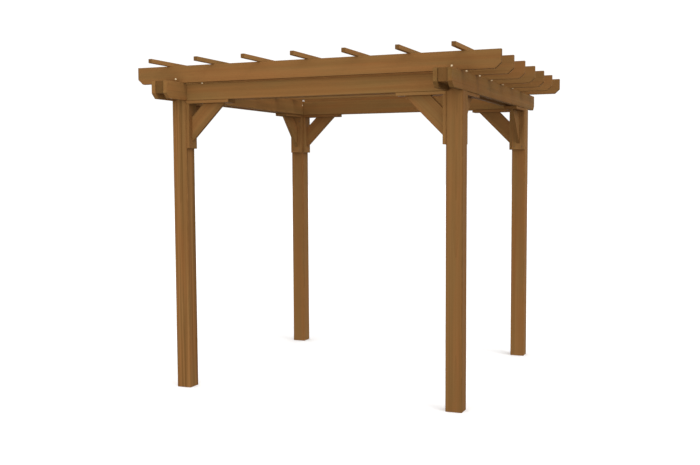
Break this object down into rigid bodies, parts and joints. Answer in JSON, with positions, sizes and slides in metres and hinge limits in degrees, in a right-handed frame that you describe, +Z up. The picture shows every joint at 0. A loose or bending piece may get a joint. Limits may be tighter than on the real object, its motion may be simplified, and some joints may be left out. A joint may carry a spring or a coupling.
{
  "type": "wooden pergola",
  "caption": "Free-standing open timber pergola: square posts with knee braces, double beams, rafters with clipped ends and square slats across the top.",
  "frame": {"origin": "on the ground at the middle of the plan of the whole pergola", "axes": "+X along the front to the right, +Y to the back, +Z up"},
  "size_m": [3.016, 3.08, 2.678],
  "materials": {
    "post_timber": "brown water-based stain, matt, fine straight grain",
    "beam_timber": "brown water-based stain, matt, fine straight grain",
    "rafter_timber": "brown water-based stain, matt, fine straight grain",
    "slat_timber": "brown water-based stain, matt, fine straight grain",
    "brace_timber": "brown water-based stain, matt, fine straight grain"
  },
  "bodies": {
    "root": {"back_beam_cleats": "brace_timber", "back_beam_inner_board": "beam_timber", "back_beam_outer_board": "beam_timber", "back_left_beam_spacer": "beam_timber", "back_left_cross_brace": "brace_timber", "back_left_post": "post_timber", "back_left_side_brace": "brace_timber", "back_post_cleats": "brace_timber", "back_right_beam_spacer": "beam_timber", "back_right_cross_brace": "brace_timber", "back_right_post": "post_timber", "back_right_side_brace": "brace_timber", "front_beam_cleats": "brace_timber", "front_beam_inner_board": "beam_timber", "front_beam_outer_board": "beam_timber", "front_left_beam_spacer": "beam_timber", "front_left_cross_brace": "brace_timber", "front_left_post": "post_timber", "front_left_side_brace": "brace_timber", "front_post_cleats": "brace_timber", "front_right_beam_spacer": "beam_timber", "front_right_cross_brace": "brace_timber", "front_right_post": "post_timber", "front_right_side_brace": "brace_timber", "left_beam_cleats": "brace_timber", "left_beam_inner_board": "beam_timber", "left_beam_outer_board": "beam_timber", "left_post_cleats": "brace_timber", "rafter_1": "rafter_timber", "rafter_2": "rafter_timber", "rafter_3": "rafter_timber", "rafter_4": "rafter_timber", "rafter_5": "rafter_timber", "rafter_6": "rafter_timber", "rafter_7": "rafter_timber", "right_beam_cleats": "brace_timber", "right_beam_inner_board": "beam_timber", "right_beam_outer_board": "beam_timber", "right_post_cleats": "brace_timber", "top_slat_1": "slat_timber", "top_slat_2": "slat_timber", "top_slat_3": "slat_timber", "top_slat_4": "slat_timber", "top_slat_5": "slat_timber", "top_slat_6": "slat_timber", "top_slat_7": "slat_timber"}
  },
  "joints": []
}
